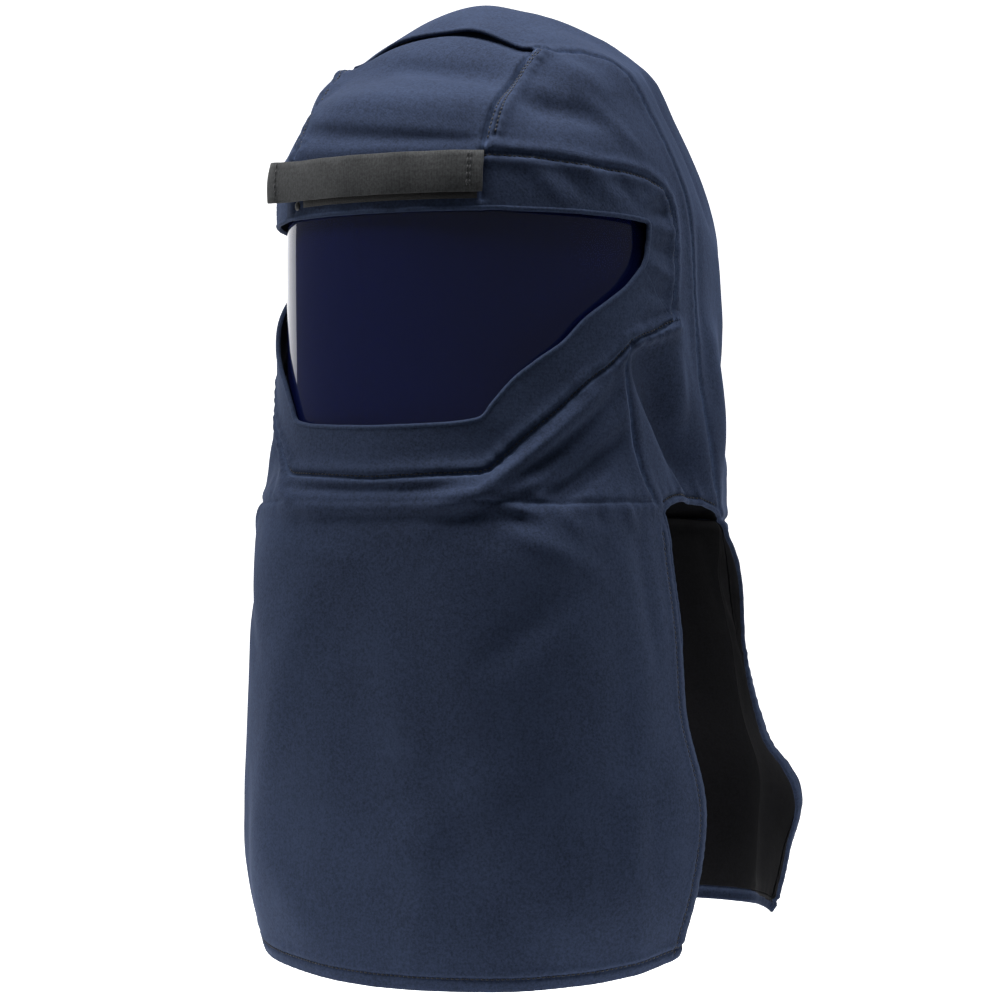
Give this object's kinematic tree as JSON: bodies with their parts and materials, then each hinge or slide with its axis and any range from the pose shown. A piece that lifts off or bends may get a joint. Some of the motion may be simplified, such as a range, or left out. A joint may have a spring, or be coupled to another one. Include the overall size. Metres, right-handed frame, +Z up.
{
  "type": "arc flash hood",
  "caption": "Arc flash hood of quilted navy cloth with a tinted face shield, brow strap, chest bib and back flap, held up as if worn.",
  "frame": {"origin": "inside top of the crown, on the wearer's middle line, where the top of the head would sit", "axes": "+X towards the wearer's left, +Y towards the wearer's back, +Z up"},
  "size_m": [0.379, 0.3755, 0.696],
  "materials": {
    "twill": "quilted flame resistant twill, matt navy",
    "lining": "smooth black lining cloth, matt",
    "webbing": "ribbed woven webbing, dark grey, matt",
    "hook_tape": "black woven tape with stiff nylon hooks",
    "shield": "tinted polycarbonate sheet, clear and glossy",
    "stud": "black moulded plastic, satin"
  },
  "bodies": {
    "root": {"crown_front_panel": "twill", "crown_back_panel": "twill", "side_panel_left": "twill", "side_panel_right": "twill", "upper_facing_left": "twill", "upper_facing_right": "twill", "lower_facing": "twill", "front_yoke": "twill", "front_bib": "twill", "front_lining": "lining", "back_flap": "twill", "back_lining": "lining", "window_binding": "twill", "slit_binding_left": "twill", "slit_binding_right": "twill", "face_shield": "shield", "hook_tape": "hook_tape", "brow_strap": "webbing", "strap_stud": "stud"}
  },
  "joints": []
}
